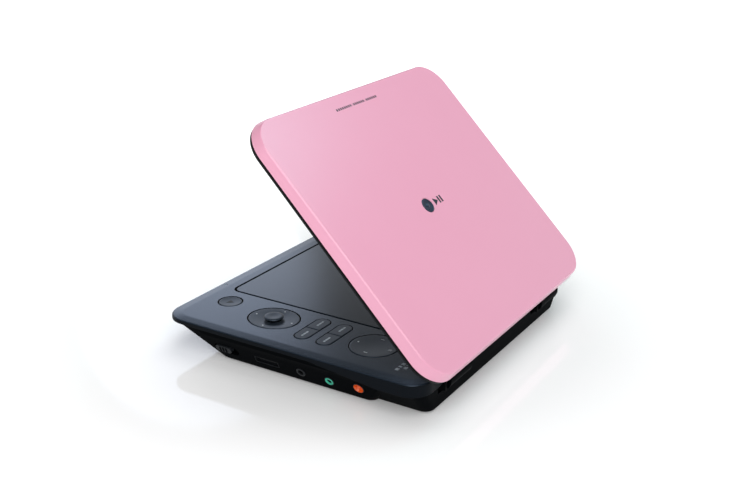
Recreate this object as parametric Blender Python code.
"""Portable disc player with a folding screen lid, modelled as separate pieces.

Metres, +Z up. The pieces are laid out in a datum frame: x = 0 is the middle of the player,
z = 0 is the table, and y runs from the deck's front lip (negative) to the hinge (positive).
+X is the user's right, the side with the connectors. The lid is drawn closed and then
turned open about the hinge axis by its parent empty.
"""
import bpy
import bmesh
import math
from mathutils import Matrix, Vector

# ---------------------------------------------------------------- driving dimensions
WIDTH = 0.205                 # across the deck and the lid
DECK_FRONT = -0.088           # the deck's front lip
DECK_DEPTH = 0.182            # front lip to rear edge
DECK_TOP = 0.025              # height of the control surface above the table
DECK_FRONT_RADIUS = 0.015     # outline corners at the lip
DECK_REAR_RADIUS = 0.013      # outline corners at the hinge
DECK_PLATE = 0.0027           # thickness of the top plate
SKIRT_WALL = 0.0022
SKIRT_FRONT = 0.003           # rim height in front
SKIRT_REAR = 0.008            # rim height at the hinge
SKIRT_STEP_FRONT = 0.074      # where the rim starts to deepen, from the rear edge
SKIRT_STEP_REAR = 0.027       # where it has its full depth, from the rear edge
FIT = 0.0003                  # gap between pieces that touch

FOOT_PROUD = 0.0008           # how far the rubber feet lift the case
CASE_FLOOR = 0.002
CASE_WALL = 0.0022
POD_EXTRA_WALL = 0.003
CASE_TOP_INSET = 0.003        # rim overhang over the case
POD_BOTTOM_INSET = 0.012      # connector pod at the table, in from the deck's side
POD_BOTTOM_FRONT = 0.038      # pod's bottom edge behind the deck's lip
POD_TOP_FRONT = 0.007
POD_REAR = 0.0275             # pod's rear end, in front of the deck's rear edge
POD_REAR_RAKE = 0.009         # how much further forward that end is at the table
BLOCK_BOTTOM_INSET = 0.0165   # rear block at the table, in from the deck's side
BLOCK_TOP_INSET = 0.0045
BLOCK_REAR_INSET = 0.0051     # rear wall at the table, in from the deck's rear edge

LID_OPENING = math.radians(45.86)   # from closed
HINGE_INSET = 0.002           # axis in front of the deck's rear edge
HINGE_DROP = 0.007            # axis below the deck's surface
LID_FRONT_LIP = 0.006         # bare deck in front of the closed lid
LID_REAR_INSET = 0.00014
LID_RADIUS = 0.020
LID_GAP = 0.0006              # closed lid above the deck
BEZEL_RIDGE = 0.0027          # height of the frame around the screen side
BEZEL_RIDGE_WIDTH = 0.008
BEZEL_PLATE = 0.0015
COVER_DEPTH = 0.0074          # side height of the coloured cover
COVER_WALL = 0.0018
COVER_EDGE = 0.0022           # rounded edge of the cover's face

SCREEN_WIDTH = 0.176
SCREEN_HEIGHT = 0.105
SCREEN_TOP_MARGIN = 0.014     # screen window below the lid's far edge
SCREEN_BORDER = 0.0035        # how far the panel reaches past the window
SPEAKER_RADIUS = 0.013
SPEAKER_INSET = 0.030         # centre from the lid's side
SPEAKER_FROM_HINGE = 0.030

DOOR_FRONT_MARGIN = 0.0135    # door edge from the deck's edges
DOOR_LEFT_MARGIN = 0.0136
DOOR_RIGHT_MARGIN = 0.0531
DOOR_REAR_MARGIN = 0.0223
DOOR_GAP = 0.0011
DOOR_THICKNESS = 0.002
DOOR_RADIUS = 0.005
DISC_RADIUS = 0.060
WELL_CLEARANCE = 0.002        # pocket wall around a disc
WELL_DEPTH = 0.0078           # bay's underside below the case's top edge
WELL_FLOOR = 0.0015
WELL_WALL = 0.0015
WELL_FLANGE = 0.0012

PLAY_COLUMN = 0.0315          # centre of the control column, in from the right side
BUTTON_RADIUS = 0.0074
BUTTON_FROM_FRONT = 0.0235
BUTTON_COLUMN = 0.0375        # the round button's centre, in from the right side
NAV_LENGTH = 0.033
NAV_WIDTH = 0.0285
NAV_FROM_FRONT = 0.062
STICK_RADIUS = 0.0065
STICK_HOLE = 0.0076
STICK_HEIGHT = 0.002          # cap's top above the deck
KEY_LENGTH = 0.0301           # a pair of keys end to end
KEY_WIDTH = 0.0095
KEY_ROWS = (0.0905, 0.1061)   # row centres behind the front lip
KEY_WAIST = 0.0006            # between the two keys of a row
PAD_RADIUS = 0.0144
PAD_FROM_FRONT = 0.1335
CONTROL_GAP = 0.0004
STICK_PIVOT_DROP = 0.0055     # pivots below the deck's surface
PAD_PIVOT_DROP = 0.0040
KEY_BOARD_DROP = 0.0094
BOARD_PLATE = 0.0014
STEM_CLEARANCE = 0.0014       # key stems above their board

LED_X = 0.0448
LED_FROM_FRONT = 0.0034
LED_RADIUS = 0.0008
EMBLEM_RADIUS = 0.00475
EMBLEM_X = 0.008
EMBLEM_FROM_HINGE = 0.088

SLIDER_LENGTH = 0.0185        # recess of the power slider
SLIDER_HEIGHT = 0.0062
SLIDER_DEPTH = 0.0025
SLIDER_FROM_FRONT = 0.0428
SLIDER_Z = 0.0086
KNOB_LENGTH = 0.0098
KNOB_HEIGHT = 0.0050
KNOB_PROUD = 0.0006
KNOB_FORWARD = 0.0020         # knob's centre in front of the recess's centre
PORT_LENGTH = 0.0180
PORT_HEIGHT = 0.0050
PORT_FROM_FRONT = 0.0726
PORT_Z = 0.0078
JACKS = (
    # name, centre behind the front lip, height, outer radius, hole radius
    ("jack_black", 0.0975, 0.0080, 0.0030, 0.00175),
    ("jack_green", 0.1173, 0.0078, 0.00325, 0.00180),
    ("jack_orange", 0.1374, 0.0091, 0.00340, 0.00240),
)
CONNECTOR_DEPTH = 0.011

HINGE_SPACING = 0.124         # between the two hinges
HINGE_LENGTH = 0.0256         # lid knuckle
HINGE_RADIUS = 0.0058
HINGE_PIN_RADIUS = 0.0017
BRACKET_WALL = 0.0020
NOTCH_DEPTH = 0.009           # hinge notch in front of the axis
NOTCH_DROP = 0.0081           # notch floor below the axis

ROD_RADIUS = 0.0015
ROD_SPACING = 0.048
ROD_START = 0.002             # rods and lead screw start behind the disc's centre
ROD_DROP = 0.0045             # rods below the bay's underside
SLED_Y = 0.034                # pickup's place behind the disc's centre
SLED_LENGTH = 0.022
SLED_SIDE = 0.003             # sled past each rod
SCREW_OFFSET = 0.031          # lead screw beside the disc's centre
SCREW_RADIUS = 0.0014
RAIL_LENGTH = 0.068
CHASSIS_DROP = 0.0055         # chassis plate below the rods
CHASSIS_PLATE = 0.0012
SPINDLE_RADIUS = 0.0120
SLED_MOTOR_RADIUS = 0.0040
SLED_MOTOR_LENGTH = 0.016
LENS_RADIUS = 0.0035
PICKUP_SLOT = 0.024           # width of the slot in the bay's floor
HUB_HOLE = 0.017              # radius of the hole around the turntable

ARC_STEPS = 5                 # facets in a quarter of a large corner
ROUND_STEPS = 32

# ---------------------------------------------------------------- derived places
HALF = WIDTH / 2
DECK_REAR = DECK_FRONT + DECK_DEPTH
CASE_BOTTOM = FOOT_PROUD
PLATE_BOTTOM = DECK_TOP - DECK_PLATE
CASE_TOP = PLATE_BOTTOM - 0.0005
FLOOR_TOP = CASE_BOTTOM + CASE_FLOOR
HINGE_Y = DECK_REAR - HINGE_INSET
HINGE_Z = DECK_TOP - HINGE_DROP
NOTCH_FLOOR = HINGE_Z - NOTCH_DROP
LID_REAR = DECK_REAR - LID_REAR_INSET
LID_FRONT = DECK_FRONT + LID_FRONT_LIP
BEZEL_BOTTOM = DECK_TOP + LID_GAP
SCREEN_FACE = BEZEL_BOTTOM + BEZEL_RIDGE
COVER_BOTTOM = SCREEN_FACE + FIT
LID_TOP = COVER_BOTTOM + COVER_DEPTH
COVER_INSIDE = LID_TOP - COVER_WALL
BEZEL_BACK = SCREEN_FACE + BEZEL_PLATE

DOOR_LEFT = -HALF + DOOR_LEFT_MARGIN
DOOR_RIGHT = HALF - DOOR_RIGHT_MARGIN
DOOR_FRONT = DECK_FRONT + DOOR_FRONT_MARGIN
DOOR_REAR = DECK_REAR - DOOR_REAR_MARGIN
DISC_X = (DOOR_LEFT + DOOR_RIGHT) / 2
DISC_Y = (DOOR_FRONT + DOOR_REAR) / 2
WELL_RADIUS = DISC_RADIUS + WELL_CLEARANCE
WELL_FLOOR_Z = CASE_TOP - WELL_DEPTH
MECHANISM_Z = WELL_FLOOR_Z - ROD_DROP
CONTROL_X = HALF - PLAY_COLUMN
STICK_PIVOT_Z = DECK_TOP - STICK_PIVOT_DROP
PAD_PIVOT_Z = DECK_TOP - PAD_PIVOT_DROP
KEY_BOARD_Z = DECK_TOP - KEY_BOARD_DROP
STEM_Z = KEY_BOARD_Z + BOARD_PLATE + STEM_CLEARANCE

POD_BOTTOM_X = HALF - POD_BOTTOM_INSET
POD_TOP_X = HALF - CASE_TOP_INSET
POD_SLOPE = (POD_TOP_X - POD_BOTTOM_X) / (CASE_TOP - CASE_BOTTOM)
POD_ANGLE = math.atan(POD_SLOPE)

# The whole player is moved so that its bounding box stands on the origin.
EDGE_BACK = COVER_EDGE * 0.3
EDGE_DOWN = COVER_EDGE * 0.35
LID_REACH_Y = HINGE_Y + (LID_REAR - EDGE_BACK - HINGE_Y) * math.cos(LID_OPENING) \
    + (LID_TOP - EDGE_DOWN - HINGE_Z) * math.sin(LID_OPENING)
CENTRE_Y = (DECK_FRONT + LID_REACH_Y) / 2


# ---------------------------------------------------------------- helpers
def clear_scene():
    for old in list(bpy.data.objects):
        bpy.data.objects.remove(old)


def finish_of(name, colour, roughness, metallic=0.0):
    """One Principled material."""
    mat = bpy.data.materials.new(name)
    mat.use_nodes = True
    shader = mat.node_tree.nodes["Principled BSDF"]
    shader.inputs["Base Color"].default_value = (*colour, 1.0)
    shader.inputs["Roughness"].default_value = roughness
    shader.inputs["Metallic"].default_value = metallic
    return mat


def add_empty(name, location, parent=None):
    empty = bpy.data.objects.new(name, None)
    bpy.context.collection.objects.link(empty)
    empty.location = location
    empty.parent = parent
    return empty


def add_piece(name, bm, finish, parent, pivot=(0, 0, 0), smooth=None):
    """Turn a bmesh drawn in the datum frame into an object whose origin is its pivot."""
    bmesh.ops.translate(bm, verts=bm.verts, vec=-Vector(pivot))
    face_outwards(bm)
    mesh = bpy.data.meshes.new(name)
    bm.to_mesh(mesh)
    bm.free()
    if smooth is not None:
        mesh.shade_smooth()
        mesh.set_sharp_from_angle(angle=math.radians(smooth))
    piece = bpy.data.objects.new(name, mesh)
    bpy.context.collection.objects.link(piece)
    piece.parent = parent
    piece.location = Vector(pivot) - parent_offset(parent)
    if finish is not None:
        mesh.materials.append(finish)
    return piece


def face_outwards(bm):
    bmesh.ops.recalc_face_normals(bm, faces=bm.faces)
    if bm.calc_volume(signed=True) < 0:
        bmesh.ops.reverse_faces(bm, faces=bm.faces)


def parent_offset(parent):
    """Where a parent empty stands in the datum frame."""
    return Vector(parent["datum"]) if "datum" in parent else Vector((0, 0, 0))


def combine(piece, bm, operation="DIFFERENCE"):
    """Cut a bmesh from a piece, or join it on, with a hidden guide object."""
    guide = add_piece(piece.name + "_guide", bm, None, piece.parent)
    guide.hide_render = True
    guide.display_type = "WIRE"
    modifier = piece.modifiers.new(operation.lower(), "BOOLEAN")
    modifier.operation = operation
    modifier.object = guide


def rounded(x0, x1, y0, y1, front_radius, rear_radius=None, steps=ARC_STEPS):
    """Outline of a rectangle with rounded corners, counter-clockwise."""
    rear_radius = front_radius if rear_radius is None else rear_radius
    corners = (
        (x1 - rear_radius, y1 - rear_radius, rear_radius, 0),
        (x0 + rear_radius, y1 - rear_radius, rear_radius, 90),
        (x0 + front_radius, y0 + front_radius, front_radius, 180),
        (x1 - front_radius, y0 + front_radius, front_radius, 270),
    )
    points = []
    for cx, cy, radius, start in corners:
        for step in range(steps + 1):
            angle = math.radians(start + 90 * step / steps)
            points.append((cx + radius * math.cos(angle), cy + radius * math.sin(angle)))
    return points


def ellipse(cx, cy, rx, ry, steps=ROUND_STEPS):
    turns = [2 * math.pi * step / steps for step in range(steps)]
    return [(cx + rx * math.cos(turn), cy + ry * math.sin(turn)) for turn in turns]


def stack(rings, loop=False):
    """Wall up rings (outline, z) in order; cap both ends, or join the last to the first."""
    bm = bmesh.new()
    loops = [[bm.verts.new((x, y, z)) for x, y in outline] for outline, z in rings]
    for low, high in zip(loops, loops[1:] + (loops[:1] if loop else [])):
        for step in range(len(low)):
            bm.faces.new((low[step - 1], low[step], high[step], high[step - 1]))
    if not loop:
        bm.faces.new(loops[0])
        bm.faces.new(loops[-1])
    return bm


def prism(outline, z0, z1):
    return stack([(outline, z0), (outline, z1)])


def box(x0, x1, y0, y1, z0, z1):
    bm = bmesh.new()
    bmesh.ops.create_cube(bm, size=1)
    bmesh.ops.scale(bm, verts=bm.verts, vec=(x1 - x0, y1 - y0, z1 - z0))
    bmesh.ops.translate(bm, verts=bm.verts, vec=((x0 + x1) / 2, (y0 + y1) / 2, (z0 + z1) / 2))
    return bm


def turned(profile, steps=ROUND_STEPS):
    """Spin (radius, z) points, listed bottom to top, about the Z axis."""
    return stack([(ellipse(0, 0, radius, radius, steps), z) for radius, z in profile])


def tube(outer, inner, z0, z1, steps=ROUND_STEPS):
    rings = ((outer, z0), (outer, z1), (inner, z1), (inner, z0))
    return stack([(ellipse(0, 0, r, r, steps), z) for r, z in rings], loop=True)


def moved(bm, matrix):
    bmesh.ops.transform(bm, matrix=matrix, verts=bm.verts)
    return bm


def shifted(bm, x, y, z):
    return moved(bm, Matrix.Translation((x, y, z)))


def along_x(bm, x, y, z):
    """Lay a piece drawn along +Z along +X."""
    return moved(bm, Matrix.Translation((x, y, z)) @ Matrix.Rotation(math.pi / 2, 4, "Y"))


def along_y(bm, x, y, z):
    """Lay a piece drawn along +Z along +Y."""
    return moved(bm, Matrix.Translation((x, y, z)) @ Matrix.Rotation(-math.pi / 2, 4, "X"))


def on_pod(bm, y, z):
    """Seat a piece on the pod's sloped wall: local X runs rearward, Y up the wall, Z out of it."""
    x = POD_BOTTOM_X + (z - CASE_BOTTOM) * POD_SLOPE
    rearward = Vector((0, 1, 0))
    up = Vector((math.sin(POD_ANGLE), 0, math.cos(POD_ANGLE)))
    out = Vector((math.cos(POD_ANGLE), 0, -math.sin(POD_ANGLE)))
    frame = Matrix((rearward, up, out)).transposed().to_4x4()
    return moved(bm, Matrix.Translation((x, y, z)) @ frame)


def stadium(length, height, z0, z1, steps=ARC_STEPS):
    """A bar with round ends, centred, long along X."""
    return prism(rounded(-length / 2, length / 2, -height / 2, height / 2,
                         height / 2 - 0.00001, steps=steps), z0, z1)


# ---------------------------------------------------------------- finishes
clear_scene()
PINK = finish_of("pink_gloss_plastic", (0.80, 0.38, 0.51), 0.28)
SLATE = finish_of("slate_deck_plastic", (0.055, 0.075, 0.095), 0.38)
BLACK = finish_of("black_case_plastic", (0.008, 0.010, 0.012), 0.42)
KEYS = finish_of("key_plastic", (0.045, 0.060, 0.075), 0.40)
RUBBER = finish_of("foot_rubber", (0.02, 0.02, 0.02), 0.85)
STEEL = finish_of("steel", (0.55, 0.55, 0.57), 0.30, 1.0)
BOARD = finish_of("circuit_board", (0.02, 0.12, 0.05), 0.45)
SCREEN = finish_of("screen_glass", (0.01, 0.01, 0.015), 0.10)
TEAL = finish_of("teal_jack_plastic", (0.03, 0.55, 0.42), 0.35)
ORANGE = finish_of("orange_jack_plastic", (0.85, 0.18, 0.02), 0.35)
CELL = finish_of("battery_wrap", (0.03, 0.05, 0.15), 0.50)

player = add_empty("player", (0, -CENTRE_Y, 0))
lid_axis = add_empty("lid_axis", (0, HINGE_Y, HINGE_Z), player)
lid_axis.rotation_euler = (-LID_OPENING, 0, 0)
lid_axis["datum"] = (0, HINGE_Y, HINGE_Z)


# ---------------------------------------------------------------- places shared by pieces
def both_sides():
    """What comes in pairs stands left and right."""
    return ((-1, "left"), (1, "right"))


def hinge_notch(side):
    """Room for one hinge, open to the rear and the top."""
    half = HINGE_LENGTH / 2 + BRACKET_WALL + 2 * FIT + CONTROL_GAP
    middle = side * HINGE_SPACING / 2
    return box(middle - half, middle + half, HINGE_Y - NOTCH_DEPTH, DECK_REAR + 0.02,
               NOTCH_FLOOR, DECK_TOP + 0.01)


def screw_places():
    front = DECK_FRONT + POD_BOTTOM_FRONT + 0.0065
    rear = DECK_REAR - 0.014
    return ((-0.066, front), (0.066, front), (-0.030, rear), (0.030, rear))


def foot_places():
    x = HALF - 0.0265
    front = DECK_FRONT + POD_BOTTOM_FRONT + 0.008
    rear = DECK_REAR - 0.015
    return ((-x, front), (x, front), (-x, rear), (x, rear))


BATTERY = (-HALF + 0.0190, -HALF + 0.0460, DECK_FRONT + 0.054, DECK_REAR - 0.021)


# ---------------------------------------------------------------- bottom case
def pod_outline(level, inset=0.0):
    """The connector pods, at a share of the height from the table to the deck.

    Inside, the side wall is thicker, because the connectors are sunk into it.
    """
    x = POD_BOTTOM_X + (POD_TOP_X - POD_BOTTOM_X) * level - inset
    if inset:
        x -= POD_EXTRA_WALL
    front = DECK_FRONT + POD_BOTTOM_FRONT + (POD_TOP_FRONT - POD_BOTTOM_FRONT) * level
    rear = DECK_REAR - POD_REAR - POD_REAR_RAKE * (1 - min(1.0, level / 0.55))
    radius = 0.008 + 0.004 * level
    return rounded(-x, x, front + 1.6 * inset, rear - inset, radius)


def block_outline(level, inset=0.0):
    """The main block between the pods, which reaches back to the hinge."""
    step = min(1.0, level / 0.77)
    x = HALF - BLOCK_BOTTOM_INSET + (BLOCK_BOTTOM_INSET - BLOCK_TOP_INSET) * step - inset
    front = DECK_FRONT + POD_BOTTOM_FRONT + (POD_TOP_FRONT - POD_BOTTOM_FRONT) * level + 0.008
    low_rear = DECK_REAR - BLOCK_REAR_INSET
    high_rear = DECK_REAR - SKIRT_WALL - FIT
    rear = low_rear + (high_rear - low_rear) * step - inset
    return rounded(-x, x, front + 1.6 * inset, rear, 0.010)


def level_z(level):
    return CASE_BOTTOM + (CASE_TOP - CASE_BOTTOM) * level


def make_bottom_case():
    levels = (0.0, 0.30, 0.55, 0.77, 1.0)
    case = add_piece("bottom_case", stack([(block_outline(v), level_z(v)) for v in levels]),
                     BLACK, player, smooth=35)
    pod = stack([(pod_outline(v), level_z(v)) for v in (0.0, 0.30, 0.55, 1.0)])
    combine(case, pod, "UNION")
    floor_level = CASE_FLOOR / (CASE_TOP - CASE_BOTTOM)
    for outline in (block_outline, pod_outline):
        inner = [(outline(v, CASE_WALL), level_z(v)) for v in (floor_level, 0.30, 0.55, 0.77, 1.0)]
        inner.append((outline(1.0, CASE_WALL), CASE_TOP + 0.005))
        combine(case, stack(inner))
    for x, y in screw_places():
        boss = turned(((0.0035, FLOOR_TOP - 0.001), (0.0030, 0.0105)), 16)
        combine(case, shifted(boss, x, y, 0), "UNION")
    for x, y in screw_places():
        combine(case, shifted(turned(((0.0028, -0.001), (0.0028, 0.0020)), 16), x, y, 0))
        combine(case, shifted(turned(((0.0014, 0.001), (0.0014, 0.012)), 12), x, y, 0))
    for x, y in foot_places():
        combine(case, shifted(turned(((0.0048, -0.001), (0.0048, CASE_BOTTOM + 0.0011)), 20), x, y, 0))
    x0, x1, y0, y1 = BATTERY
    combine(case, box(x0, x1, y0, y1, -0.001, FLOOR_TOP + 0.001))
    for side, _ in both_sides():
        combine(case, hinge_notch(side))
    combine(case, on_pod(stadium(SLIDER_LENGTH, SLIDER_HEIGHT, -SLIDER_DEPTH, 0.004),
                         DECK_FRONT + SLIDER_FROM_FRONT, SLIDER_Z))
    combine(case, on_pod(stadium(0.011, 0.0024, -0.010, 0.0), DECK_FRONT + SLIDER_FROM_FRONT, SLIDER_Z))
    half = PORT_LENGTH / 2
    port_hole = prism(rounded(-half, half, -PORT_HEIGHT / 2, PORT_HEIGHT / 2, 0.0006, steps=2), -0.012, 0.004)
    combine(case, on_pod(port_hole, DECK_FRONT + PORT_FROM_FRONT, PORT_Z))
    for _, from_front, z, radius, _ in JACKS:
        bore = turned(((radius + FIT, -0.012), (radius + FIT, 0.004)), 24)
        combine(case, on_pod(bore, DECK_FRONT + from_front, z))
    return case


# ---------------------------------------------------------------- top deck
def deck_outline(inset=0.0):
    return rounded(-HALF + inset, HALF - inset, DECK_FRONT + inset, DECK_REAR - inset,
                   DECK_FRONT_RADIUS - inset, DECK_REAR_RADIUS - inset, steps=6)


def make_top_deck():
    skirt = DECK_TOP - SKIRT_REAR
    rings = [
        (deck_outline(SKIRT_WALL), PLATE_BOTTOM),
        (deck_outline(SKIRT_WALL), skirt),
        (deck_outline(0.0004), skirt),
        (deck_outline(), DECK_TOP - 0.0012),
        (deck_outline(0.0004), DECK_TOP - 0.0003),
        (deck_outline(0.0012), DECK_TOP),
    ]
    deck = add_piece("top_deck", stack(rings), SLATE, player, smooth=35)
    rim = DECK_TOP - SKIRT_FRONT
    slope = bmesh.new()
    profile = (
        (DECK_FRONT - 0.01, skirt - 0.01),
        (DECK_REAR - SKIRT_STEP_REAR, skirt - 0.01),
        (DECK_REAR - SKIRT_STEP_REAR, skirt),
        (DECK_REAR - SKIRT_STEP_FRONT, rim),
        (DECK_FRONT - 0.01, rim),
    )
    face = slope.faces.new([slope.verts.new((-HALF - 0.01, y, z)) for y, z in profile])
    grown = bmesh.ops.extrude_face_region(slope, geom=[face])["geom"]
    far = [item for item in grown if isinstance(item, bmesh.types.BMVert)]
    bmesh.ops.translate(slope, verts=far, vec=(WIDTH + 0.02, 0, 0))
    combine(deck, slope)
    low, high = PLATE_BOTTOM - 0.002, DECK_TOP + 0.002
    combine(deck, prism(rounded(DOOR_LEFT - DOOR_GAP, DOOR_RIGHT + DOOR_GAP, DOOR_FRONT - DOOR_GAP,
                                DOOR_REAR + DOOR_GAP, DOOR_RADIUS + DOOR_GAP), low, high))
    cuts = [
        ellipse(HALF - BUTTON_COLUMN, DECK_FRONT + BUTTON_FROM_FRONT,
                BUTTON_RADIUS + CONTROL_GAP, BUTTON_RADIUS + CONTROL_GAP),
        ellipse(CONTROL_X, DECK_FRONT + NAV_FROM_FRONT,
                NAV_WIDTH / 2 + FIT, NAV_LENGTH / 2 + FIT),
        ellipse(CONTROL_X, DECK_FRONT + PAD_FROM_FRONT,
                PAD_RADIUS + CONTROL_GAP, PAD_RADIUS + CONTROL_GAP),
        ellipse(LED_X, DECK_FRONT + LED_FROM_FRONT, LED_RADIUS + FIT, LED_RADIUS + FIT, 12),
    ]
    for row in KEY_ROWS:
        half_length = KEY_LENGTH / 2 + CONTROL_GAP
        half_width = KEY_WIDTH / 2 + CONTROL_GAP
        y = DECK_FRONT + row
        cuts.append(rounded(CONTROL_X - half_length, CONTROL_X + half_length, y - half_width,
                            y + half_width, half_width - 0.00001))
    for outline in cuts:
        combine(deck, prism(outline, low, high))
    for side, _ in both_sides():
        combine(deck, hinge_notch(side))
    return deck


def make_led_window():
    window = turned(((LED_RADIUS, PLATE_BOTTOM + 0.0005), (LED_RADIUS, DECK_TOP)), 12)
    add_piece("led_window", shifted(window, LED_X, DECK_FRONT + LED_FROM_FRONT, 0), SCREEN, player)


# ---------------------------------------------------------------- disc bay and door
def make_disc_well():
    top = CASE_TOP
    flange = rounded(DOOR_LEFT - 0.0008, DOOR_RIGHT + 0.0025, DOOR_FRONT - 0.0004,
                     DOOR_REAR + 0.002, 0.008)
    well = add_piece("disc_well", prism(flange, top - WELL_FLANGE, top), BLACK, player, smooth=35)
    outer = WELL_RADIUS + WELL_WALL
    drum = turned(((outer, WELL_FLOOR_Z), (outer, top - WELL_FLANGE / 2)), 48)
    combine(well, shifted(drum, DISC_X, DISC_Y, 0), "UNION")
    pocket = turned(((WELL_RADIUS, WELL_FLOOR_Z + WELL_FLOOR), (WELL_RADIUS, top + 0.01)), 48)
    combine(well, shifted(pocket, DISC_X, DISC_Y, 0))
    below, above = WELL_FLOOR_Z - 0.005, top + 0.01
    combine(well, shifted(turned(((HUB_HOLE, below), (HUB_HOLE, above)), 24), DISC_X, DISC_Y, 0))
    combine(well, box(DISC_X - PICKUP_SLOT / 2, DISC_X + PICKUP_SLOT / 2, DISC_Y + HUB_HOLE / 2,
                      DISC_Y + WELL_RADIUS - 0.001, below, above))


def make_disc_door():
    outline = rounded(DOOR_LEFT, DOOR_RIGHT, DOOR_FRONT, DOOR_REAR, DOOR_RADIUS)
    inner = rounded(DOOR_LEFT + 0.0004, DOOR_RIGHT - 0.0004, DOOR_FRONT + 0.0004,
                    DOOR_REAR - 0.0004, DOOR_RADIUS - 0.0004)
    door = stack([(outline, DECK_TOP - DOOR_THICKNESS), (outline, DECK_TOP - 0.0004), (inner, DECK_TOP)])
    add_piece("disc_door", door, SLATE, player, (0, DOOR_REAR - 0.0012, DECK_TOP - 0.0018), smooth=35)


def make_mechanism():
    half = ROD_SPACING / 2
    plate_z = MECHANISM_Z - CHASSIS_DROP
    under, over = plate_z - 0.001, plate_z + CHASSIS_PLATE + 0.001
    plate = box(DISC_X - half - 0.006, DISC_X + SCREW_OFFSET + 0.005, DISC_Y - 0.022,
                DISC_Y + ROD_START + RAIL_LENGTH + 0.002, plate_z, plate_z + CHASSIS_PLATE)
    chassis = add_piece("drive_chassis", plate, STEEL, player)
    motor_hole = SPINDLE_RADIUS + 0.0005
    combine(chassis, shifted(turned(((motor_hole, under), (motor_hole, over))), DISC_X, DISC_Y, 0))
    inside = half - 0.006
    window = box(DISC_X - inside, DISC_X + inside, DISC_Y + 0.018, DISC_Y + 0.058, under, over)
    combine(chassis, window)
    boss = MECHANISM_Z + 0.001
    motor = turned(((SPINDLE_RADIUS, FLOOR_TOP + 0.0005), (SPINDLE_RADIUS, MECHANISM_Z),
                    (0.0050, MECHANISM_Z), (0.0050, boss)))
    add_piece("spindle_motor", shifted(motor, DISC_X, DISC_Y, 0), STEEL, player, smooth=35)
    seat = WELL_FLOOR_Z + WELL_FLOOR - 0.0005
    hub = ((0.0012, boss + 0.0004), (0.0012, seat), (0.0135, seat), (0.0135, seat + 0.0016),
           (0.0074, seat + 0.0016), (0.0074, seat + 0.0032), (0.0050, seat + 0.0046))
    add_piece("turntable", shifted(turned(hub), DISC_X, DISC_Y, 0), BLACK, player,
              (DISC_X, DISC_Y, seat), smooth=35)
    for side, word in both_sides():
        rod = turned(((ROD_RADIUS, 0), (ROD_RADIUS, RAIL_LENGTH)), 16)
        add_piece("guide_rod_" + word, along_y(rod, DISC_X + side * half, DISC_Y + ROD_START, MECHANISM_Z),
                  STEEL, player, smooth=35)
    y = DISC_Y + SLED_Y
    wide = half + SLED_SIDE
    sled = add_piece("pickup_sled", box(DISC_X - wide, DISC_X + wide, y - SLED_LENGTH / 2,
                                        y + SLED_LENGTH / 2, MECHANISM_Z - 0.0024, MECHANISM_Z + 0.0030),
                     BLACK, player)
    for side, _ in both_sides():
        bore = turned(((ROD_RADIUS + FIT, 0), (ROD_RADIUS + FIT, 0.1)), 16)
        combine(sled, along_y(bore, DISC_X + side * half, y - 0.05, MECHANISM_Z))
    lens = turned(((LENS_RADIUS, MECHANISM_Z + 0.0033), (LENS_RADIUS, WELL_FLOOR_Z),
                   (LENS_RADIUS - 0.0007, WELL_FLOOR_Z + 0.0008)), 20)
    add_piece("pickup_lens", shifted(lens, DISC_X, y, 0), SCREEN, player, smooth=35)
    start = (DISC_X + SCREW_OFFSET, DISC_Y + ROD_START, MECHANISM_Z)
    screw = turned(((SCREW_RADIUS, 0), (SCREW_RADIUS, RAIL_LENGTH)), 16)
    add_piece("lead_screw", along_y(screw, *start), STEEL, player, start, smooth=35)
    can = turned(((SLED_MOTOR_RADIUS, 0), (SLED_MOTOR_RADIUS, SLED_MOTOR_LENGTH)), 20)
    add_piece("sled_motor", along_y(can, start[0], start[1] - SLED_MOTOR_LENGTH - 0.0005, MECHANISM_Z),
              STEEL, player, smooth=35)


# ---------------------------------------------------------------- controls
def key_half(side, y):
    """One key of a row: round at its outer end, straight at the waist."""
    half_width = KEY_WIDTH / 2
    outline = rounded(CONTROL_X - KEY_LENGTH / 2, CONTROL_X + KEY_LENGTH / 2, y - half_width,
                      y + half_width, half_width - 0.00001)
    waist = CONTROL_X + side * KEY_WAIST / 2
    kept = [point for point in outline if (point[0] - CONTROL_X) * side > 0]
    kept.append((waist, y + side * half_width))
    kept.append((waist, y - side * half_width))
    return sorted_round(kept)


def sorted_round(points):
    cx = sum(x for x, _ in points) / len(points)
    cy = sum(y for _, y in points) / len(points)
    return sorted(points, key=lambda point: math.atan2(point[1] - cy, point[0] - cx))


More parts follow.
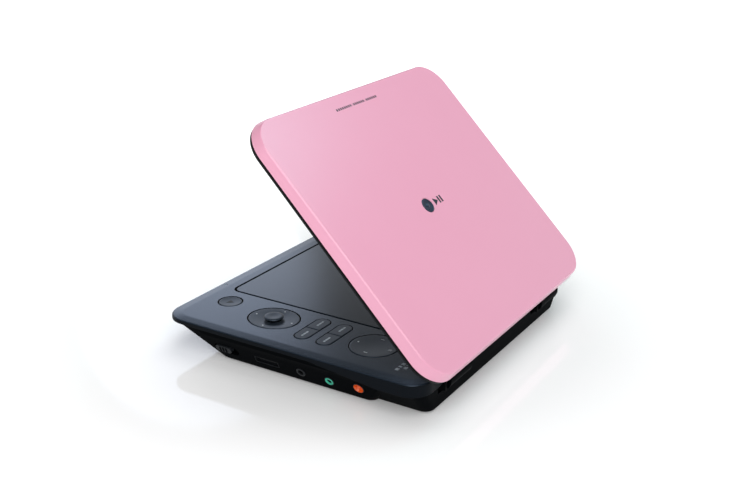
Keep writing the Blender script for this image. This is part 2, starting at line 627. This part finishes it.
def make_controls():
    y = DECK_FRONT + BUTTON_FROM_FRONT
    x = HALF - BUTTON_COLUMN
    button = turned(((0.0030, STEM_Z), (0.0030, DECK_TOP - 0.0028), (BUTTON_RADIUS, DECK_TOP - 0.0028),
                     (BUTTON_RADIUS, DECK_TOP - 0.0004), (BUTTON_RADIUS - 0.0008, DECK_TOP)))
    add_piece("open_button", shifted(button, x, y, 0), KEYS, player, (x, y, DECK_TOP), smooth=35)
    latch = box(DOOR_RIGHT + 0.0033, DOOR_RIGHT + 0.0065, y - 0.005, y + 0.003, CASE_TOP - 0.0010,
                PLATE_BOTTOM - FIT)
    add_piece("door_latch", latch, STEEL, player, (DOOR_RIGHT + 0.0033, y, CASE_TOP))
    y = DECK_FRONT + NAV_FROM_FRONT
    nav = [
        (ellipse(CONTROL_X, y, STICK_HOLE, STICK_HOLE), DECK_TOP - 0.0026),
        (ellipse(CONTROL_X, y, NAV_WIDTH / 2, NAV_LENGTH / 2), DECK_TOP - 0.0026),
        (ellipse(CONTROL_X, y, NAV_WIDTH / 2, NAV_LENGTH / 2), DECK_TOP),
        (ellipse(CONTROL_X, y, STICK_HOLE, STICK_HOLE), DECK_TOP - 0.0003),
    ]
    add_piece("nav_plate", stack(nav, loop=True), KEYS, player, smooth=35)
    pivot = (CONTROL_X, y, STICK_PIVOT_Z)
    add_piece("stick_gimbal", shifted(tube(0.0058, 0.0040, -0.0008, 0.0008, 20), *pivot), STEEL, player,
              pivot, smooth=35)
    top = DECK_TOP + STICK_HEIGHT
    stick = turned(((0.0022, STICK_PIVOT_Z - 0.0007), (0.0022, DECK_TOP - 0.0006),
                    (STICK_RADIUS - 0.0012, DECK_TOP + 0.0002), (STICK_RADIUS, top - 0.0009),
                    (STICK_RADIUS - 0.0008, top - 0.0002), (STICK_RADIUS - 0.0024, top)), 24)
    add_piece("joystick", shifted(stick, CONTROL_X, y, 0), KEYS, player, pivot, smooth=35)
    for from_front, word in zip(KEY_ROWS, ("front", "rear")):
        y = DECK_FRONT + from_front
        for side, hand in both_sides():
            x = CONTROL_X + side * KEY_LENGTH / 4
            cap = prism(key_half(side, y), DECK_TOP - 0.0024, DECK_TOP + 0.0002)
            key = add_piece("key_%s_%s" % (word, hand), cap, KEYS, player, (x, y, DECK_TOP))
            stem = turned(((0.0020, STEM_Z), (0.0020, DECK_TOP - 0.0014)), 12)
            combine(key, shifted(stem, x, y, 0), "UNION")
    y = DECK_FRONT + PAD_FROM_FRONT
    pivot = (CONTROL_X, y, PAD_PIVOT_Z)
    add_piece("pad_gimbal", shifted(tube(0.0050, 0.0032, -0.0007, 0.0007, 20), *pivot), STEEL, player,
              pivot, smooth=35)
    under = DECK_TOP - 0.0018
    pad = turned(((0.0018, PAD_PIVOT_Z - 0.0006), (0.0018, under), (PAD_RADIUS, under),
                  (PAD_RADIUS, DECK_TOP - 0.0002), (PAD_RADIUS - 0.0006, DECK_TOP)))
    add_piece("dial_pad", shifted(pad, CONTROL_X, y, 0), KEYS, player, pivot, smooth=35)


# ---------------------------------------------------------------- side connectors
def make_connectors():
    y = DECK_FRONT + SLIDER_FROM_FRONT
    knob_y = y - KNOB_FORWARD
    cap = on_pod(stadium(KNOB_LENGTH, KNOB_HEIGHT, -SLIDER_DEPTH + FIT, KNOB_PROUD), knob_y, SLIDER_Z)
    knob = add_piece("power_slider", cap, KEYS, player, (HALF, knob_y, SLIDER_Z))
    wall_back = (CASE_WALL + POD_EXTRA_WALL) * math.cos(POD_ANGLE) + 0.0008
    neck = box(-0.0015, 0.0015, -0.0009, 0.0009, -wall_back, -SLIDER_DEPTH + 0.001)
    combine(knob, on_pod(neck, knob_y, SLIDER_Z), "UNION")
    switch = box(-0.0052, 0.0052, -0.0026, 0.0026, -wall_back - FIT - 0.0045, -wall_back - FIT)
    add_piece("power_switch", on_pod(switch, y, SLIDER_Z), STEEL, player)
    half = PORT_LENGTH / 2 - FIT
    height = PORT_HEIGHT / 2 - FIT
    wall = 0.0005
    shell = [
        (rounded(-half, half, -height, height, 0.0005, steps=2), -CONNECTOR_DEPTH),
        (rounded(-half, half, -height, height, 0.0005, steps=2), -0.0002),
        (rounded(-half + wall, half - wall, -height + wall, height - wall, 0.0003, steps=2), -0.0002),
        (rounded(-half + wall, half - wall, -height + wall, height - wall, 0.0003, steps=2), -0.0062),
    ]
    port = add_piece("data_port", on_pod(stack(shell), DECK_FRONT + PORT_FROM_FRONT, PORT_Z), STEEL, player)
    tongue = box(-half + 0.0025, half - 0.0025, -0.0004, 0.0006, -0.0070, -0.0015)
    combine(port, on_pod(tongue, DECK_FRONT + PORT_FROM_FRONT, PORT_Z), "UNION")
    for (name, from_front, z, radius, hole), finish in zip(JACKS, (BLACK, TEAL, ORANGE)):
        rings = ((radius, -CONNECTOR_DEPTH), (radius, 0.0001), (radius - 0.0003, 0.0004),
                 (hole + 0.0002, 0.0004), (hole, 0.0001), (hole, -0.0085))
        socket = stack([(ellipse(0, 0, r, r, 24), w) for r, w in rings])
        add_piece(name, on_pod(socket, DECK_FRONT + from_front, z), finish, player, smooth=35)


# ---------------------------------------------------------------- inside the case
def make_case_contents():
    board_x0 = DISC_X + 0.0420
    board_x1 = HALF - 0.0185
    board_y0 = DECK_FRONT + POD_BOTTOM_FRONT + 0.0125
    board = box(board_x0, board_x1, board_y0, DECK_REAR - 0.024, 0.0048, 0.0062)
    add_piece("main_board", board, BOARD, player)
    key_board = box(DOOR_RIGHT + 0.0055, HALF - 0.0205, DECK_FRONT + 0.0205, DECK_REAR - 0.030,
                    KEY_BOARD_Z, KEY_BOARD_Z + BOARD_PLATE)
    add_piece("key_board", key_board, BOARD, player)
    x0, x1, y0, y1 = BATTERY
    pack = prism(rounded(x0 + 0.0006, x1 - 0.0006, y0 + 0.001, y1 - 0.001, 0.003, steps=3),
                 FLOOR_TOP + FIT, WELL_FLOOR_Z - 0.0008)
    add_piece("battery_pack", pack, CELL, player)
    cover = box(x0 + FIT, x1 - FIT, y0 + FIT, y1 - FIT, CASE_BOTTOM, FLOOR_TOP)
    add_piece("battery_cover", cover, BLACK, player)
    words = ("front_left", "front_right", "rear_left", "rear_right")
    for word, (x, y) in zip(words, foot_places()):
        foot = turned(((0.0040, 0), (0.0045, 0.0005), (0.0045, CASE_BOTTOM + 0.0008)), 20)
        add_piece("foot_" + word, shifted(foot, x, y, 0), RUBBER, player, smooth=35)
    for word, (x, y) in zip(words, screw_places()):
        screw = turned(((0.0018, 0.0009), (0.0024, 0.0011), (0.0024, 0.0017), (0.0011, 0.0017),
                        (0.0011, 0.0095)), 16)
        add_piece("case_screw_" + word, shifted(screw, x, y, 0), STEEL, player, smooth=35)


# ---------------------------------------------------------------- hinges
def make_hinges():
    for side, word in both_sides():
        middle = side * HINGE_SPACING / 2
        half = HINGE_LENGTH / 2
        ear_in = half + CONTROL_GAP
        ear_out = ear_in + BRACKET_WALL
        front = HINGE_Y - NOTCH_DEPTH + FIT
        block = box(middle - ear_out, middle + ear_out, front, HINGE_Y + 0.0035,
                    HINGE_Z - 0.0055, HINGE_Z + 0.0050)
        bracket = add_piece("hinge_bracket_" + word, block, STEEL, player)
        combine(bracket, box(middle - ear_in, middle + ear_in, front + 0.0012, HINGE_Y + 0.02,
                             HINGE_Z - 0.02, HINGE_Z + 0.02))
        bore = turned(((HINGE_PIN_RADIUS + FIT, -0.03), (HINGE_PIN_RADIUS + FIT, 0.03)), 20)
        combine(bracket, along_x(bore, middle, HINGE_Y, HINGE_Z))
        pin = turned(((HINGE_PIN_RADIUS, -ear_out), (HINGE_PIN_RADIUS, ear_out)), 20)
        add_piece("hinge_pin_" + word, along_x(pin, middle, HINGE_Y, HINGE_Z), STEEL, player, smooth=35)
        barrel = turned(((HINGE_RADIUS, -half), (HINGE_RADIUS, half)), 28)
        knuckle = add_piece("hinge_knuckle_" + word, along_x(barrel, middle, HINGE_Y, HINGE_Z), BLACK,
                            lid_axis, smooth=35)
        combine(knuckle, box(middle - half + 0.001, middle + half - 0.001, HINGE_Y - 0.0022, HINGE_Y + 0.0013,
                             HINGE_Z, BEZEL_BOTTOM - FIT), "UNION")
        bore = turned(((HINGE_PIN_RADIUS + FIT, -0.03), (HINGE_PIN_RADIUS + FIT, 0.03)), 20)
        combine(knuckle, along_x(bore, middle, HINGE_Y, HINGE_Z))


# ---------------------------------------------------------------- lid
def lid_outline(inset=0.0):
    return rounded(-HALF + inset, HALF - inset, LID_FRONT + inset, LID_REAR - inset,
                   LID_RADIUS - inset, steps=7)


def window_outline(grow=0.0):
    front = LID_FRONT + SCREEN_TOP_MARGIN
    half = SCREEN_WIDTH / 2 + grow
    return rounded(-half, half, front - grow, front + SCREEN_HEIGHT + grow, 0.001, steps=7)


def make_lid():
    cover = [
        (lid_outline(COVER_WALL), COVER_INSIDE),
        (lid_outline(COVER_WALL), COVER_BOTTOM),
        (lid_outline(), COVER_BOTTOM),
        (lid_outline(), LID_TOP - COVER_EDGE),
        (lid_outline(EDGE_BACK), LID_TOP - EDGE_DOWN),
        (lid_outline(COVER_EDGE), LID_TOP),
    ]
    shell = add_piece("lid_cover", stack(cover), PINK, lid_axis, smooth=35)
    emblem_y = LID_REAR - EMBLEM_FROM_HINGE
    recess = turned(((EMBLEM_RADIUS + FIT, LID_TOP - 0.0006), (EMBLEM_RADIUS + FIT, LID_TOP + 0.01)))
    combine(shell, shifted(recess, EMBLEM_X, emblem_y, 0))
    emblem = turned(((EMBLEM_RADIUS, LID_TOP - 0.0004), (EMBLEM_RADIUS, LID_TOP)))
    add_piece("lid_emblem", shifted(emblem, EMBLEM_X, emblem_y, 0), STEEL, lid_axis, smooth=35)
    lip = COVER_WALL + FIT
    bezel = [
        (window_outline(), BEZEL_BACK),
        (window_outline(), SCREEN_FACE),
        (lid_outline(BEZEL_RIDGE_WIDTH), SCREEN_FACE),
        (lid_outline(BEZEL_RIDGE_WIDTH - 0.0006), BEZEL_BOTTOM),
        (lid_outline(0.0010), BEZEL_BOTTOM),
        (lid_outline(0.0003), BEZEL_BOTTOM + 0.0008),
        (lid_outline(0.0003), SCREEN_FACE),
        (lid_outline(lip), SCREEN_FACE),
        (lid_outline(lip), BEZEL_BACK),
    ]
    frame = add_piece("lid_bezel", stack(bezel, loop=True), BLACK, lid_axis, smooth=35)
    for side, word in both_sides():
        x = side * (HALF - 0.0045)
        y = LID_REAR - 0.026
        pit = turned(((0.0023, BEZEL_BOTTOM - 0.001), (0.0023, BEZEL_BOTTOM + 0.0015)), 16)
        combine(frame, shifted(pit, x, y, 0))
        plug = turned(((0.0020, BEZEL_BOTTOM + 0.0002), (0.0020, BEZEL_BOTTOM + 0.0012)), 16)
        add_piece("lid_screw_cap_" + word, shifted(plug, x, y, 0), RUBBER, lid_axis, smooth=35)
    half = SCREEN_WIDTH / 2 + SCREEN_BORDER
    front = LID_FRONT + SCREEN_TOP_MARGIN - SCREEN_BORDER
    rear = LID_FRONT + SCREEN_TOP_MARGIN + SCREEN_HEIGHT + SCREEN_BORDER
    panel_z = BEZEL_BACK + FIT
    add_piece("lcd_panel", box(-half, half, front, rear, panel_z, panel_z + 0.0014), SCREEN, lid_axis)
    light = box(-half, half, front, rear, panel_z + 0.0017, COVER_INSIDE - FIT)
    add_piece("backlight", light, STEEL, lid_axis)
    add_piece("lid_board", box(-0.040, 0.040, rear + 0.004, LID_REAR - 0.008, panel_z, panel_z + 0.0012),
              BOARD, lid_axis)
    for side, word in both_sides():
        speaker = turned(((SPEAKER_RADIUS, panel_z), (SPEAKER_RADIUS, panel_z + 0.0012),
                          (SPEAKER_RADIUS - 0.003, COVER_INSIDE - FIT)), 28)
        add_piece("speaker_" + word, shifted(speaker, side * (HALF - SPEAKER_INSET),
                                             LID_REAR - SPEAKER_FROM_HINGE, 0), BLACK, lid_axis, smooth=35)


make_bottom_case()
make_top_deck()
make_led_window()
make_disc_well()
make_disc_door()
make_mechanism()
make_controls()
make_connectors()
make_case_contents()
make_hinges()
make_lid()
